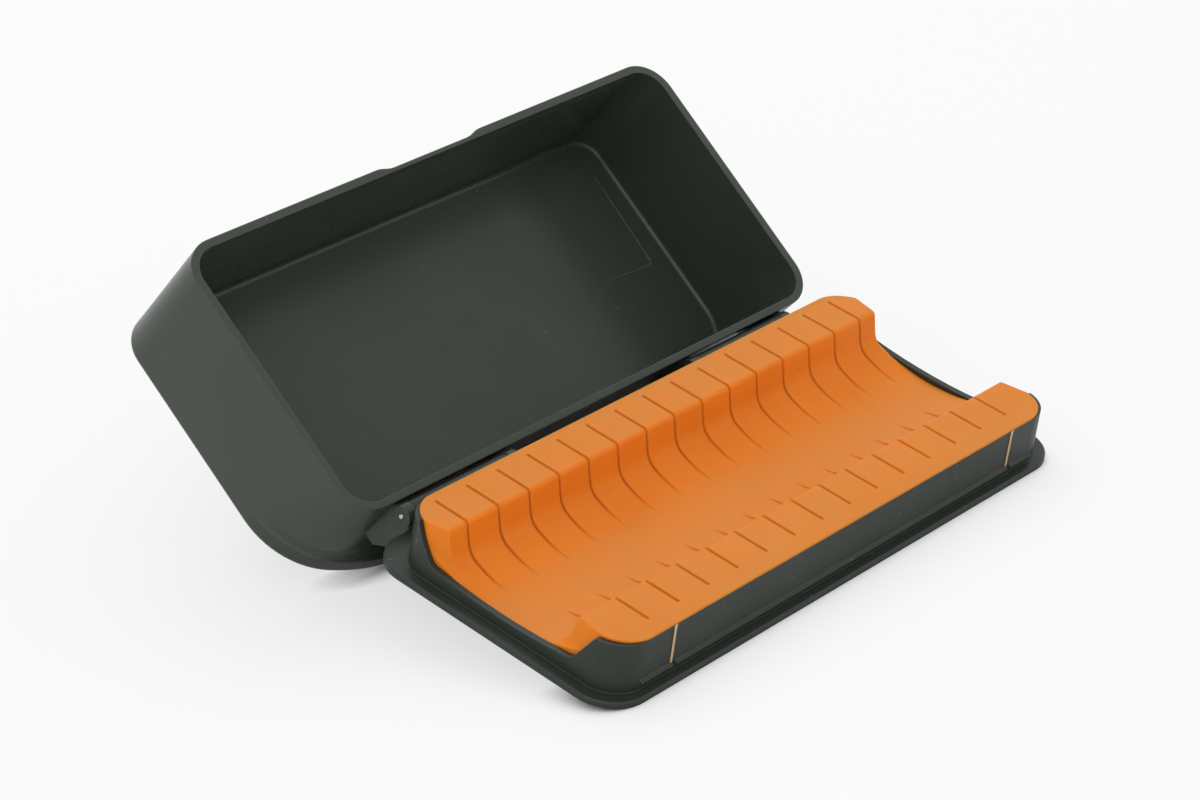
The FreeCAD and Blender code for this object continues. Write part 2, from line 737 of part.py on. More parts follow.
def add_thumb_recess(body):
    """Shallow scoop in the middle of the front rim, with S-shaped ends."""
    outer = -lid_front
    deep = outer + float(cell.recess_depth)
    half = float(cell.recess_half)
    run = float(cell.recess_run)
    middle = (outer + deep) / 2
    bend = run / 4
    sag = float(cell.recess_depth) / 2 * 0.25
    sketch = new_sketch(body, "thumb_recess_outline", "XY_Plane", float(mouth_level))
    right = [arc((half + run, outer), (half + run - bend, outer + sag), (half + run / 2, middle)),
             arc((half + run / 2, middle), (half + bend, deep - sag), (half, deep))]
    left = [arc((-half, deep), (-half - bend, deep - sag), (-half - run / 2, middle)),
            arc((-half - run / 2, middle), (-half - run + bend, outer + sag), (-half - run, outer))]
    out = outer - 1
    draw(sketch, right + [line((half, deep), (-half, deep))] + left
         + [line((-half - run, outer), (-half - run, out)), line((-half - run, out), (half + run, out)),
            line((half + run, out), (half + run, outer))])
    pocket(body, sketch, cell.recess_height, "thumb_recess", reverse=True)


def add_snap_groove(body):
    """Groove inside the front wall for the collar's bead, with a long sloped flank above it."""
    wall = -lid_inner_front
    low = float(groove_level)
    deep = wall - float(cell.groove_depth)
    flat = low + float(cell.groove_height)
    corners = [(wall + 0.5, low - 0.1), (wall, low - 0.1), (deep, low + 0.2), (deep, flat),
               (wall, flat + float(cell.groove_slope)), (wall + 0.5, flat + float(cell.groove_slope))]
    sketch = new_sketch(body, "snap_groove_section", "YZ_Plane")
    draw(sketch, [line(corners[i - 1], corners[i]) for i in range(len(corners))])
    pocket(body, sketch, (bead_end + cell.groove_overrun) * 2, "snap_groove", centred=True)


def make_pin(name, side):
    """Hinge pin through one knuckle and the arm on each side of it."""
    body = new_body(name)
    half = float(cell.arm_width) / 2
    start = float(arm_inner_place) - half
    end = float(arm_outer_place) + half
    first = start if side > 0 else -end
    sketch = new_sketch(body, f"{name}_section", "YZ_Plane", first)
    circle = Part.Circle(vector(hinge_y, hinge_z), vector(0, 0, 1), float(cell.pin_radius))
    sketch.addGeometry(circle, False)
    pad(body, sketch, arm_outer_place - arm_inner_place + cell.arm_width, f"{name}_rod")
    dress_edges(body, "PartDesign::Chamfer", f"{name}_chamfer", cell.pin_chamfer,
                lambda edge: isinstance(edge.Curve, Part.Circle) and abs(edge.Curve.Center.x) > end - half)
    return body


def table_pose():
    """Lean on the table and shift along Y of the tray's frame, with the lid open at its stop."""
    turn = math.radians(float(cell.open_angle))
    rounding = float(cell.lid_round)
    edge = float(flange_edge)

    def opened(y, z):
        dy, dz = y - float(hinge_y), z - float(hinge_z)
        return (float(hinge_y) + dy * math.cos(turn) + dz * math.sin(turn),
                float(hinge_z) - dy * math.sin(turn) + dz * math.cos(turn))

    y, z = opened(lip_rear - rounding, float(lid_top) - rounding)
    lean = math.atan2(-z, y + edge) + math.asin(rounding / math.hypot(y + edge, z))
    far_y, far_z = opened(rounding - lid_front, float(lid_top) - rounding)
    back = (far_y + edge) * math.cos(lean) - far_z * math.sin(lean) + rounding
    front = -float(cell.flange_thickness) * math.sin(lean)
    return lean, -(front + back) / 2


def place(bodies, lid):
    lean, shift = table_pose()
    edge = vector(0, -float(flange_edge), 0)
    x_axis = vector(1, 0, 0)
    leaning = FreeCAD.Rotation(x_axis, math.degrees(lean))
    stand = FreeCAD.Placement(vector(0, shift, 0) - leaning.multVec(edge), leaning)
    hinge = vector(0, hinge_y, hinge_z)
    opening = FreeCAD.Placement(vector(0, 0, 0), FreeCAD.Rotation(x_axis, -float(cell.open_angle)), hinge)
    for body in bodies:
        body.Placement = stand
    lid.Placement = stand.multiply(opening)
    axis = stand.multVec(hinge)
    print(f"lean {math.degrees(lean):.4f} hinge axis at y {axis.y:.4f} z {axis.z:.4f} shift {shift:.4f}")


tray = make_tray()
insert = make_insert()
lid = make_lid()
pins = [make_pin("hinge_pin_left", -1), make_pin("hinge_pin_right", 1)]
place([tray, insert] + pins, lid)
doc.recompute()

pieces = [tray, insert, lid] + pins
for item in doc.Objects:
    if "Invalid" in item.State or "Error" in item.State:
        raise ValueError(f"{item.Name} failed: {item.State}")
for piece in pieces:
    shape = piece.Shape
    if shape.isNull() or not shape.isValid() or len(shape.Solids) != 1:
        raise ValueError(f"{piece.Label} is not one valid solid: {len(shape.Solids)}")
os.makedirs("parts", exist_ok=True)
for piece in pieces:
    piece.Shape.exportStep(f"parts/{piece.Label}.step")
    box = piece.Shape.BoundBox
    print(f"{piece.Label}: volume {piece.Shape.Volume:.1f} x {box.XMin:.2f} {box.XMax:.2f} "
          f"y {box.YMin:.2f} {box.YMax:.2f} z {box.ZMin:.2f} {box.ZMax:.2f}")
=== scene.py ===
"""Looks of the hook storage box: moulded grey plastic, orange rubber insert, steel hinge pins, pale studio."""
import logging
import math
from dataclasses import dataclass, field
from enum import Enum
from typing import Callable, Optional, Sequence

import bpy
from mathutils import Euler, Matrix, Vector


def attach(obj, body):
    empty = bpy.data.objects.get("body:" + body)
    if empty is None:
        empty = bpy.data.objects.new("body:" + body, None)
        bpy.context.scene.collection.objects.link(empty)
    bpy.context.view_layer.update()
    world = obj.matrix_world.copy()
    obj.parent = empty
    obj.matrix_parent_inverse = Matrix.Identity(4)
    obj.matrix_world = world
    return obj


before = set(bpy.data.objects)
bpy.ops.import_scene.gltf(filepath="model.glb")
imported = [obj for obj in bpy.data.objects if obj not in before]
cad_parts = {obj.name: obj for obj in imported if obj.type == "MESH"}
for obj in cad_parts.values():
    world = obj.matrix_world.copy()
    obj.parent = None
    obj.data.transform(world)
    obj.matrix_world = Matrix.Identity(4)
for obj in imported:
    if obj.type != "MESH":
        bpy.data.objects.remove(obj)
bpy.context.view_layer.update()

logging.basicConfig(level=logging.INFO, format="%(message)s")
LOG = logging.getLogger("hook_storage_box")
MM = 0.001

Colour = tuple[float, float, float]


def srgb(red: int, green: int, blue: int) -> Colour:
    """Turn an 8-bit display colour into linear light.

    Args:
        red: Red from 0 to 255.
        green: Green from 0 to 255.
        blue: Blue from 0 to 255.

    Returns:
        The colour's three linear values.
    """
    def linear(channel: int) -> float:
        """Linear value of one channel."""
        share = channel / 255
        return share / 12.92 if share <= 0.04045 else ((share + 0.055) / 1.055) ** 2.4

    return linear(red), linear(green), linear(blue)


class Socket(Enum):
    """Kinds of socket that the node groups use."""

    VALUE = "NodeSocketFloat"
    COLOUR = "NodeSocketColor"
    VECTOR = "NodeSocketVector"


class GroupMaker:
    """Builds one shader node group with named inputs and outputs."""

    def __init__(self, name: str) -> None:
        """Start an empty group.

        Args:
            name: Name of the group.
        """
        self.tree = bpy.data.node_groups.new(name, "ShaderNodeTree")
        self.inputs = self.tree.nodes.new("NodeGroupInput")
        self.outputs = self.tree.nodes.new("NodeGroupOutput")

    def take(self, name: str, kind: Socket, default: object = None) -> None:
        """Add a named input.

        Args:
            name: Name of the socket.
            kind: Kind of the socket.
            default: Value that the socket starts with.
        """
        socket = self.tree.interface.new_socket(name=name, in_out="INPUT", socket_type=kind.value)
        if default is not None:
            socket.default_value = default

    def give(self, name: str, kind: Socket, source: bpy.types.NodeSocket) -> None:
        """Add a named output and feed it.

        Args:
            name: Name of the socket.
            kind: Kind of the socket.
            source: Socket that feeds the output.
        """
        self.tree.interface.new_socket(name=name, in_out="OUTPUT", socket_type=kind.value)
        self.tree.links.new(source, self.outputs.inputs[name])

    def node(self, kind: str, **settings: object) -> bpy.types.Node:
        """Add a node with its settings.

        Args:
            kind: Blender's name of the node type.
            **settings: Properties to set on the node.

        Returns:
            The new node.
        """
        made = self.tree.nodes.new(kind)
        for key, value in settings.items():
            setattr(made, key, value)
        return made

    def link(self, source: bpy.types.NodeSocket, target: bpy.types.NodeSocket) -> None:
        """Join two sockets of the group."""
        self.tree.links.new(source, target)


def make_grain_group() -> bpy.types.NodeTree:
    """Fine spark-eroded grain as a height, a soft patchiness mask and a mask of few small dust specks.

    Returns:
        The node group.
    """
    maker = GroupMaker("moulded_grain")
    maker.take("Grain Scale", Socket.VALUE, 2400.0)
    maker.take("Patch Scale", Socket.VALUE, 40.0)
    coordinates = maker.node("ShaderNodeTexCoord")
    grain = maker.node("ShaderNodeTexNoise")
    grain.inputs["Detail"].default_value = 3.0
    grain.inputs["Roughness"].default_value = 0.6
    patches = maker.node("ShaderNodeTexNoise")
    patches.inputs["Detail"].default_value = 4.0
    patches.inputs["Roughness"].default_value = 0.55
    for noise, scale in ((grain, "Grain Scale"), (patches, "Patch Scale")):
        maker.link(coordinates.outputs["Object"], noise.inputs["Vector"])
        maker.link(maker.inputs.outputs[scale], noise.inputs["Scale"])
    spread = maker.node("ShaderNodeMapRange")
    spread.inputs["From Min"].default_value = 0.3
    spread.inputs["From Max"].default_value = 0.7
    maker.link(patches.outputs["Fac"], spread.inputs["Value"])
    dust = maker.node("ShaderNodeTexNoise")
    dust.inputs["Scale"].default_value = 1500.0
    dust.inputs["Detail"].default_value = 1.0
    maker.link(coordinates.outputs["Object"], dust.inputs["Vector"])
    specks = maker.node("ShaderNodeMapRange")
    specks.inputs["From Min"].default_value = 0.78
    specks.inputs["From Max"].default_value = 0.82
    maker.link(dust.outputs["Fac"], specks.inputs["Value"])
    maker.give("Height", Socket.VALUE, grain.outputs["Fac"])
    maker.give("Patches", Socket.VALUE, spread.outputs["Result"])
    maker.give("Specks", Socket.VALUE, specks.outputs["Result"])
    return maker.tree


def make_edge_group() -> bpy.types.NodeTree:
    """Softened corners: a rounded normal, and a mask that is bright along convex edges, where the finishes put a
    painted highlight.

    Returns:
        The node group.
    """
    maker = GroupMaker("soft_edges")
    maker.take("Radius", Socket.VALUE, 0.0003)
    bevel = maker.node("ShaderNodeBevel", samples=6)
    maker.link(maker.inputs.outputs["Radius"], bevel.inputs["Radius"])
    geometry = maker.node("ShaderNodeNewGeometry")
    dot = maker.node("ShaderNodeVectorMath", operation="DOT_PRODUCT")
    maker.link(bevel.outputs["Normal"], dot.inputs[0])
    maker.link(geometry.outputs["Normal"], dot.inputs[1])
    mask = maker.node("ShaderNodeMapRange")
    mask.inputs["From Min"].default_value = 0.97
    mask.inputs["From Max"].default_value = 0.80
    maker.link(dot.outputs["Value"], mask.inputs["Value"])
    maker.give("Normal", Socket.VECTOR, bevel.outputs["Normal"])
    maker.give("Edge", Socket.VALUE, mask.outputs["Result"])
    return maker.tree


def make_crevice_group(name: str, alone: bool) -> bpy.types.NodeTree:
    """Mask that is bright in slits, seams and narrow gaps, where the finishes put painted shade and painted glow.

    Args:
        name: Name of the group.
        alone: True where only the piece's own shape counts, and not its neighbours.

    Returns:
        The node group.
    """
    maker = GroupMaker(name)
    maker.take("Distance", Socket.VALUE, 0.001)
    maker.take("Open", Socket.VALUE, 0.8)
    maker.take("Shut", Socket.VALUE, 0.4)
    maker.take("Normal", Socket.VECTOR)
    occlusion = maker.node("ShaderNodeAmbientOcclusion", samples=12, only_local=alone)
    maker.link(maker.inputs.outputs["Distance"], occlusion.inputs["Distance"])
    maker.link(maker.inputs.outputs["Normal"], occlusion.inputs["Normal"])
    mask = maker.node("ShaderNodeMapRange")
    maker.link(maker.inputs.outputs["Open"], mask.inputs["From Min"])
    maker.link(maker.inputs.outputs["Shut"], mask.inputs["From Max"])
    maker.link(occlusion.outputs["AO"], mask.inputs["Value"])
    maker.give("CreviceShadeAndGlow", Socket.VALUE, mask.outputs["Result"])
    return maker.tree


def make_level_group() -> bpy.types.NodeTree:
    """Mask of the faces that look up, broken up by slow patches, where the colour turns paler.

    Returns:
        The node group.
    """
    maker = GroupMaker("level_faces")
    geometry = maker.node("ShaderNodeNewGeometry")
    split = maker.node("ShaderNodeSeparateXYZ")
    maker.link(geometry.outputs["Normal"], split.inputs["Vector"])
    up = maker.node("ShaderNodeMapRange", interpolation_type="SMOOTHSTEP")
    up.inputs["From Min"].default_value = 0.86
    up.inputs["From Max"].default_value = 0.995
    maker.link(split.outputs["Z"], up.inputs["Value"])
    coordinates = maker.node("ShaderNodeTexCoord")
    noise = maker.node("ShaderNodeTexNoise")
    noise.inputs["Scale"].default_value = 110.0
    noise.inputs["Detail"].default_value = 3.0
    maker.link(coordinates.outputs["Object"], noise.inputs["Vector"])
    share = maker.node("ShaderNodeMapRange")
    share.inputs["From Min"].default_value = 0.25
    share.inputs["From Max"].default_value = 0.75
    share.inputs["To Min"].default_value = 0.45
    maker.link(noise.outputs["Fac"], share.inputs["Value"])
    both = maker.node("ShaderNodeMath", operation="MULTIPLY")
    maker.link(up.outputs["Result"], both.inputs[0])
    maker.link(share.outputs["Result"], both.inputs[1])
    maker.give("Level", Socket.VALUE, both.outputs["Value"])
    return maker.tree


@dataclass(frozen=True)
class EffectGroups:
    """The node groups that the finishes share."""

    grain: bpy.types.NodeTree
    edges: bpy.types.NodeTree
    slits: bpy.types.NodeTree
    gaps: bpy.types.NodeTree
    level: bpy.types.NodeTree

    @classmethod
    def make(cls) -> "EffectGroups":
        """Make every group once.

        Returns:
            The groups.
        """
        return cls(make_grain_group(), make_edge_group(), make_crevice_group("own_slits", True),
                   make_crevice_group("narrow_gaps", False), make_level_group())


@dataclass(frozen=True)
class CreviceShadeAndGlow:
    """How slits or narrow gaps change a finish: a mixed-in colour that is painted shade on the tray and painted glow on
    the rubber, and a duller gloss.
    """

    colour: Colour
    distance: float
    open_share: float
    shut_share: float
    roughness: float
    own_shape_only: bool = False


@dataclass(frozen=True)
class Finish:
    """A moulded finish: its colours, gloss, grain and soft corners."""

    name: str
    colour: Colour
    patch_colour: Colour
    # lighter colour of the painted highlight along convex edges
    edge_highlight_colour: Colour
    roughness: float
    roughness_spread: float
    grain_scale: float
    grain_depth: float
    patch_scale: float
    corner: float
    specular: float = 0.5
    metallic: float = 0.0
    subsurface: float = 0.0
    subsurface_radius: Colour = (0.004, 0.0015, 0.0005)
    level_colour: Optional[Colour] = None
    speck_colour: Optional[Colour] = None
    crevice_shade_and_glow: Optional[CreviceShadeAndGlow] = None

    def build(self, groups: EffectGroups) -> bpy.types.Material:
        """Make the material.

        Args:
            groups: The shared node groups.

        Returns:
            The finished material.
        """
        material = bpy.data.materials.new(self.name)
        material.use_nodes = True
        tree = material.node_tree
        shader = tree.nodes["Principled BSDF"]
        shader.inputs["Specular IOR Level"].default_value = self.specular
        shader.inputs["Metallic"].default_value = self.metallic
        if self.subsurface > 0:
            shader.inputs["Subsurface Weight"].default_value = self.subsurface
            shader.inputs["Subsurface Radius"].default_value = self.subsurface_radius
            shader.inputs["Subsurface Scale"].default_value = 1.0
        grain = tree.nodes.new("ShaderNodeGroup")
        grain.node_tree = groups.grain
        grain.inputs["Grain Scale"].default_value = self.grain_scale
        grain.inputs["Patch Scale"].default_value = self.patch_scale
        edges = tree.nodes.new("ShaderNodeGroup")
        edges.node_tree = groups.edges
        edges.inputs["Radius"].default_value = self.corner
        tone = self._mix(tree, self.colour, self.patch_colour, grain.outputs["Patches"])
        if self.level_colour:
            level = tree.nodes.new("ShaderNodeGroup")
            level.node_tree = groups.level
            tone = self._mix(tree, tone, self.level_colour, level.outputs["Level"])
        # painted highlight: a lighter colour along convex edges
        tone = self._mix(tree, tone, self.edge_highlight_colour, edges.outputs["Edge"])
        if self.speck_colour:
            tone = self._mix(tree, tone, self.speck_colour, grain.outputs["Specks"])
        gloss = tree.nodes.new("ShaderNodeMapRange")
        gloss.inputs["To Min"].default_value = self.roughness - self.roughness_spread
        gloss.inputs["To Max"].default_value = self.roughness + self.roughness_spread
        tree.links.new(grain.outputs["Patches"], gloss.inputs["Value"])
        roughness = gloss.outputs["Result"]
        if self.crevice_shade_and_glow:
            shade = tree.nodes.new("ShaderNodeGroup")
            shade.node_tree = groups.slits if self.crevice_shade_and_glow.own_shape_only else groups.gaps
            shade.inputs["Distance"].default_value = self.crevice_shade_and_glow.distance
            shade.inputs["Open"].default_value = self.crevice_shade_and_glow.open_share
            shade.inputs["Shut"].default_value = self.crevice_shade_and_glow.shut_share
            tree.links.new(edges.outputs["Normal"], shade.inputs["Normal"])
            # painted shade and painted glow where the occlusion mask is bright
            tone = self._mix(tree, tone, self.crevice_shade_and_glow.colour, shade.outputs["CreviceShadeAndGlow"])
            duller = tree.nodes.new("ShaderNodeMapRange")
            duller.inputs["To Max"].default_value = self.crevice_shade_and_glow.roughness
            tree.links.new(shade.outputs["CreviceShadeAndGlow"], duller.inputs["Value"])
            tree.links.new(roughness, duller.inputs["To Min"])
            roughness = duller.outputs["Result"]
        tree.links.new(tone, shader.inputs["Base Color"])
        tree.links.new(roughness, shader.inputs["Roughness"])
        bump = tree.nodes.new("ShaderNodeBump")
        bump.inputs["Strength"].default_value = 1.0
        bump.inputs["Distance"].default_value = self.grain_depth
        tree.links.new(grain.outputs["Height"], bump.inputs["Height"])
        tree.links.new(edges.outputs["Normal"], bump.inputs["Normal"])
        tree.links.new(bump.outputs["Normal"], shader.inputs["Normal"])
        return material

    @staticmethod
    def _mix(tree: bpy.types.NodeTree, first: object, second: Colour,
             mask: bpy.types.NodeSocket) -> bpy.types.NodeSocket:
        """Mix a colour or socket with a second colour.

        Args:
            tree: The material's node tree.
            first: A colour or an output socket.
            second: The colour that the mask brings in.
            mask: Socket that gives the share of the second colour.

        Returns:
            The mixed colour's output socket.
        """
        mix = tree.nodes.new("ShaderNodeMix")
        mix.data_type = "RGBA"
        if isinstance(first, tuple):
            mix.inputs["A"].default_value = (*first, 1.0)
            for socket in mix.inputs:
                if socket.name == "A" and socket.type == "RGBA":
                    socket.default_value = (*first, 1.0)
        else:
            target = next(socket for socket in mix.inputs if socket.name == "A" and socket.type == "RGBA")
            tree.links.new(first, target)
        target = next(socket for socket in mix.inputs if socket.name == "B" and socket.type == "RGBA")
        target.default_value = (*second, 1.0)
        tree.links.new(mask, mix.inputs["Factor"])
        return next(socket for socket in mix.outputs if socket.type == "RGBA")


TRAY_PLASTIC = Finish(
    name="tray_plastic", colour=srgb(48, 54, 48), patch_colour=srgb(44, 50, 44), edge_highlight_colour=srgb(106, 111, 99),
    roughness=0.38, roughness_spread=0.05, grain_scale=2600.0, grain_depth=0.000005, patch_scale=35.0,
    corner=0.00018, specular=0.26, speck_colour=srgb(150, 150, 140),
    # painted shade: a near-black colour in seams and narrow gaps, such as under the bead and along the collar's foot
    crevice_shade_and_glow=CreviceShadeAndGlow(colour=srgb(16, 18, 15), distance=0.0014, open_share=0.62, shut_share=0.2, roughness=0.8))
LID_PLASTIC = Finish(
    name="lid_plastic", colour=srgb(56, 64, 55), patch_colour=srgb(52, 60, 51), edge_highlight_colour=srgb(76, 82, 75),
    roughness=0.28, roughness_spread=0.04, grain_scale=2600.0, grain_depth=0.0000015, patch_scale=30.0,
    corner=0.00040, specular=0.33, speck_colour=srgb(110, 113, 106))
INSERT_RUBBER = Finish(
    name="insert_rubber", colour=srgb(234, 133, 30), patch_colour=srgb(228, 126, 27), edge_highlight_colour=srgb(228, 134, 38),
    roughness=0.55, roughness_spread=0.06, grain_scale=1500.0, grain_depth=0.000014, patch_scale=60.0,
    corner=0.0005, specular=0.20, subsurface=0.6, subsurface_radius=(0.0018, 0.0009, 0.0003),
    level_colour=srgb(218, 136, 58),
    # painted glow: a paler orange in the slits, standing in for light that the rubber scatters into them
    crevice_shade_and_glow=CreviceShadeAndGlow(colour=srgb(234, 144, 48), distance=0.0012, open_share=0.92, shut_share=0.50, roughness=0.75,
                    own_shape_only=True))
# painted highlight: pale tan colour on the faces of the rubber tongues
TONGUE_HIGHLIGHT = Finish(
    name="tongue_highlight", colour=srgb(206, 182, 144), patch_colour=srgb(196, 168, 126), edge_highlight_colour=srgb(222, 200, 166),
    roughness=0.5, roughness_spread=0.05, grain_scale=1800.0, grain_depth=0.000006, patch_scale=300.0,
    corner=0.0001, specular=0.3)
PIN_STEEL = Finish(
    name="pin_steel", colour=srgb(212, 212, 208), patch_colour=srgb(196, 196, 192), edge_highlight_colour=srgb(230, 230, 226),
    roughness=0.25, roughness_spread=0.06, grain_scale=900.0, grain_depth=0.000004, patch_scale=120.0,
    corner=0.0001, metallic=1.0)
WITNESS_PLASTIC = Finish(
    name="witness_plastic", colour=srgb(104, 112, 104), patch_colour=srgb(62, 70, 64), edge_highlight_colour=srgb(116, 122, 116),
    roughness=0.35, roughness_spread=0.05, grain_scale=2600.0, grain_depth=0.000003, patch_scale=500.0,
    corner=0.00003, specular=0.4)


@dataclass
class DressedNode:
    """A CAD piece whose shape stays and which gets its finish."""

    node: str
    finish: Finish
    parts: list[str] = field(default_factory=list)

    def dress(self, material: bpy.types.Material) -> None:
        """Put the material on the piece.

        Args:
            material: The finished material.
        """
        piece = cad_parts[self.node]
        piece.data.materials.clear()
        piece.data.materials.append(material)
        LOG.info("dressed %s with %s", self.node, material.name)


@dataclass
class SurfaceStrip:
    """Thin raised strip that follows a line on a surface, with slanted flanks."""

    name: str
    points: Sequence[tuple[float, float, float]]
    normal: tuple[float, float, float]
    widths: Sequence[float]
    height: float
    body: str
    slot: str

    def build(self, material: bpy.types.Material) -> bpy.types.Object:
        """Make the strip.

        Args:
            material: Finish of the strip.

        Returns:
            The new piece.
        """
        up = Vector(self.normal).normalized()
        places = [Vector(point) * MM for point in self.points]
        corners = []
        for index, place in enumerate(places):
            before = places[max(index - 1, 0)]
            after = places[min(index + 1, len(places) - 1)]
            side = (after - before).normalized().cross(up).normalized() * (self.widths[index] * MM / 2)
            lift = up * (self.height * MM)
            sunk = up * (-0.01 * MM)
            corners += [place - side + sunk, place - side * 0.55 + lift, place + side * 0.55 + lift, place + side + sunk]
        faces = []
        for row in range(len(places) - 1):
            start = row * 4
            faces += [(start + c, start + (c + 1) % 4, start + 4 + (c + 1) % 4, start + 4 + c) for c in range(4)]
        last = (len(places) - 1) * 4
        faces += [(3, 2, 1, 0), (last, last + 1, last + 2, last + 3)]
        mesh = bpy.data.meshes.new(self.name)
        mesh.from_pydata([tuple(corner) for corner in corners], [], faces)
        mesh.materials.append(material)
        piece = bpy.data.objects.new(self.name, mesh)
        bpy.context.scene.collection.objects.link(piece)
        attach(piece, self.body)
        LOG.info("built %s with %s", self.name, material.name)
        return piece


@dataclass(frozen=True)
class MouldMarks:
    """Faint tool mark on the inner floor of the open lid."""

    floor_normal: tuple[float, float, float] = (0.0, -0.7248, 0.6889)
    line: tuple[tuple[float, float, float], ...] = (
        (62.66, 55.23, 41.48), (62.46, 50.75, 36.76), (62.30, 46.64, 32.42), (62.10, 42.25, 27.79),
        (61.93, 39.30, 24.68), (61.60, 39.06, 24.43), (58.02, 39.10, 24.47), (51.61, 39.30, 24.68),
        (43.62, 39.50, 24.90))

    def build(self, material: bpy.types.Material) -> None:
        """Make the mark.

        Args:
            material: Finish of the mark.
        """
        SurfaceStrip("lid_floor_mark", self.line, self.floor_normal,
                     (0.12, 0.18, 0.20, 0.20, 0.24, 0.24, 0.18, 0.12, 0.06), 0.04, "lid", "lid_plastic").build(material)


@dataclass(frozen=True)
class TongueHighlights:
    """Pale faces of the insert's two tongues on the front wall, in the colour of a painted highlight on the rubber."""

    place: float = 52.1
    top: tuple[float, float] = (-64.17, 12.30)
    foot: tuple[float, float] = (-62.20, 4.10)
    width: float = 0.72

    def build(self, material: bpy.types.Material) -> None:
        """Make both faces.

        Args:
            material: Finish of the faces.
        """
        steps = 6
        for number, place in enumerate((-self.place, self.place)):
            line = []
            for step in range(steps + 1):
                share = step / steps
                line.append((place, self.top[0] + (self.foot[0] - self.top[0]) * share,
                             self.top[1] + (self.foot[1] - self.top[1]) * share))
            widths = [self.width * 1.4, *[self.width] * (steps - 1), self.width * 0.8]
            SurfaceStrip(f"tongue_highlight_{number + 1}", line, (0.0, -0.9755, -0.2199), widths, 0.015, "base",
                         "orange_rubber").build(material)


@dataclass(frozen=True)
class SoftLamp:
    """One large square lamp that points at the object."""

    name: str
    power: float
    size: float
    place: tuple[float, float, float]

    def build(self) -> None:
        """Make the lamp and aim it."""
        lamp = bpy.data.lights.new(self.name, "AREA")
        lamp.energy = self.power
        lamp.size = self.size
        holder = bpy.data.objects.new(self.name, lamp)
        holder.location = self.place
        holder.rotation_euler = (Vector((0, 0, 0.03)) - Vector(self.place)).to_track_quat("-Z", "Y").to_euler()
        bpy.context.scene.collection.objects.link(holder)


LAMPS = (
    SoftLamp("key", power=4.4, size=1.0, place=(0.35, 0.75, 1.25)),
    SoftLamp("fill", power=4.2, size=0.9, place=(-1.0, -0.75, 0.95)),
)


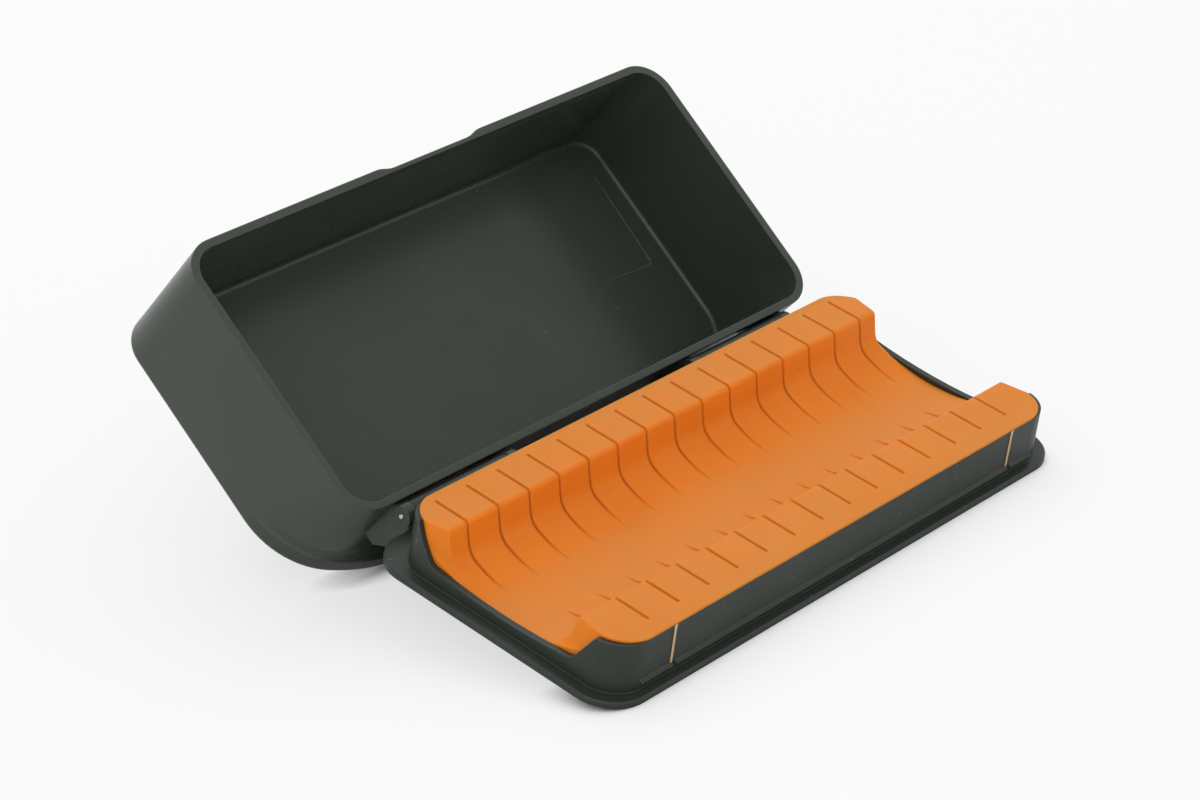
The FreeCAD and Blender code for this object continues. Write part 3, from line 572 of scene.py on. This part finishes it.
@dataclass
class Studio:
    """Pale floor, soft light and white surroundings."""

    floor_size: float = 6.0
    floor_colour: float = 0.92
    floor_white: float = 0.995
    floor_white_share: float = 0.66
    shadow_reach: float = 0.13
    contact_reach: float = 0.005
    world_strength: float = 0.75
    lamps: tuple[SoftLamp, ...] = LAMPS

    def build(self) -> None:
        """Make the floor, the world and the lamps."""
        self._floor()
        self._world()
        for lamp in self.lamps:
            lamp.build()

    def _seen(self, tree: bpy.types.NodeTree) -> bpy.types.NodeSocket:
        """Mask of the rays that see the surroundings directly, or in a gloss where the floor is far from the object.

        Args:
            tree: Node tree that the mask is made in.

        Returns:
            Socket that is 1 for those rays and 0 for light.
        """
        path = tree.nodes.new("ShaderNodeLightPath")
        geometry = tree.nodes.new("ShaderNodeNewGeometry")
        distance = tree.nodes.new("ShaderNodeVectorMath")
        distance.operation = "LENGTH"
        tree.links.new(geometry.outputs["Position"], distance.inputs[0])
        far = tree.nodes.new("ShaderNodeMapRange")
        far.inputs["From Min"].default_value = self.shadow_reach
        far.inputs["From Max"].default_value = self.shadow_reach * 2
        tree.links.new(distance.outputs["Value"], far.inputs["Value"])
        seen = path.outputs["Is Camera Ray"]
        for other in ("Is Glossy Ray", "Is Transmission Ray"):
            away = tree.nodes.new("ShaderNodeMath")
            away.operation = "MULTIPLY"
            tree.links.new(path.outputs[other], away.inputs[0])
            tree.links.new(far.outputs["Result"], away.inputs[1])
            either = tree.nodes.new("ShaderNodeMath")
            either.operation = "MAXIMUM"
            tree.links.new(seen, either.inputs[0])
            tree.links.new(away.outputs["Value"], either.inputs[1])
            seen = either.outputs["Value"]
        return seen

    def _floor(self) -> None:
        """Large plain floor that the object stands on and that keeps its soft shadow."""
        half = self.floor_size / 2
        mesh = bpy.data.meshes.new("studio_floor")
        mesh.from_pydata([(-half, -half, 0), (half, -half, 0), (half, half, 0), (-half, half, 0)], [], [(0, 1, 2, 3)])
        floor = bpy.data.objects.new("studio_floor", mesh)
        bpy.context.scene.collection.objects.link(floor)
        material = bpy.data.materials.new("studio_floor")
        material.use_nodes = True
        tree = material.node_tree
        shader = tree.nodes["Principled BSDF"]
        shader.inputs["Roughness"].default_value = 0.9
        shader.inputs["Specular IOR Level"].default_value = 0.0
        noise = tree.nodes.new("ShaderNodeTexNoise")
        noise.inputs["Scale"].default_value = 3.0
        ramp = tree.nodes.new("ShaderNodeMapRange")
        ramp.inputs["To Min"].default_value = self.floor_colour - 0.005
        ramp.inputs["To Max"].default_value = self.floor_colour + 0.005
        tree.links.new(noise.outputs["Fac"], ramp.inputs["Value"])
        tree.links.new(ramp.outputs["Result"], shader.inputs["Base Color"])
        white = tree.nodes.new("ShaderNodeEmission")
        white.inputs["Color"].default_value = (self.floor_white, self.floor_white, self.floor_white, 1.0)
        share = tree.nodes.new("ShaderNodeMath")
        share.operation = "MULTIPLY"
        tree.links.new(self._seen(tree), share.inputs[0])
        contact = tree.nodes.new("ShaderNodeAmbientOcclusion")
        contact.samples = 12
        contact.inputs["Distance"].default_value = self.contact_reach
        clear = tree.nodes.new("ShaderNodeMapRange")
        clear.inputs["From Min"].default_value = 0.25
        clear.inputs["From Max"].default_value = 0.95
        clear.inputs["To Max"].default_value = self.floor_white_share
        tree.links.new(contact.outputs["AO"], clear.inputs["Value"])
        tree.links.new(clear.outputs["Result"], share.inputs[1])
        blend = tree.nodes.new("ShaderNodeMixShader")
        tree.links.new(share.outputs["Value"], blend.inputs["Fac"])
        tree.links.new(shader.outputs["BSDF"], blend.inputs[1])
        tree.links.new(white.outputs["Emission"], blend.inputs[2])
        tree.links.new(blend.outputs["Shader"], tree.nodes["Material Output"].inputs["Surface"])
        mesh.materials.append(material)

    def _world(self) -> None:
        """Even white surroundings, at full white only where the camera or a gloss sees them."""
        world = bpy.data.worlds.new("studio")
        bpy.context.scene.world = world
        world.use_nodes = True
        tree = world.node_tree
        background = tree.nodes["Background"]
        background.inputs["Color"].default_value = (1.0, 1.0, 1.0, 1.0)
        strength = tree.nodes.new("ShaderNodeMapRange")
        strength.inputs["To Min"].default_value = self.world_strength
        strength.inputs["To Max"].default_value = 1.0
        path = tree.nodes.new("ShaderNodeLightPath")
        seen = path.outputs["Is Camera Ray"]
        for other in ("Is Glossy Ray", "Is Transmission Ray"):
            either = tree.nodes.new("ShaderNodeMath")
            either.operation = "MAXIMUM"
            tree.links.new(seen, either.inputs[0])
            tree.links.new(path.outputs[other], either.inputs[1])
            seen = either.outputs["Value"]
        tree.links.new(seen, strength.inputs["Value"])
        tree.links.new(strength.outputs["Result"], background.inputs["Strength"])


@dataclass
class PhotoCamera:
    """Camera at the photograph's viewing angle."""

    place: tuple[float, float, float] = (-0.48740982, -0.45692454, 0.30360673)
    turn_degrees: tuple[float, float, float] = (67.16443047, 3.80701738, -48.47529042)
    lens: float = 108.09520682

    def build(self) -> None:
        """Make the camera and give it to the scene."""
        data = bpy.data.cameras.new("photo_camera")
        data.sensor_width = 36.0
        data.sensor_fit = "HORIZONTAL"
        data.lens = self.lens
        camera = bpy.data.objects.new("photo_camera", data)
        camera.location = self.place
        camera.rotation_euler = Euler([math.radians(angle) for angle in self.turn_degrees], "XYZ")
        bpy.context.scene.collection.objects.link(camera)
        bpy.context.scene.camera = camera


def main() -> None:
    """Build the looks in order and report each piece."""
    bpy.context.scene.view_settings.view_transform = "Standard"
    PhotoCamera().build()
    Studio().build()
    groups = EffectGroups.make()
    finishes = (TRAY_PLASTIC, LID_PLASTIC, INSERT_RUBBER, PIN_STEEL, TONGUE_HIGHLIGHT, WITNESS_PLASTIC)
    made = {finish.name: finish.build(groups) for finish in finishes}
    for node, finish in (("tray", TRAY_PLASTIC), ("hook_insert", INSERT_RUBBER), ("lid", LID_PLASTIC),
                         ("hinge_pin_left", PIN_STEEL), ("hinge_pin_right", PIN_STEEL)):
        DressedNode(node, finish).dress(made[finish.name])
    MouldMarks().build(made[WITNESS_PLASTIC.name])
    TongueHighlights().build(made[TONGUE_HIGHLIGHT.name])


if __name__ == "__main__":
    main()
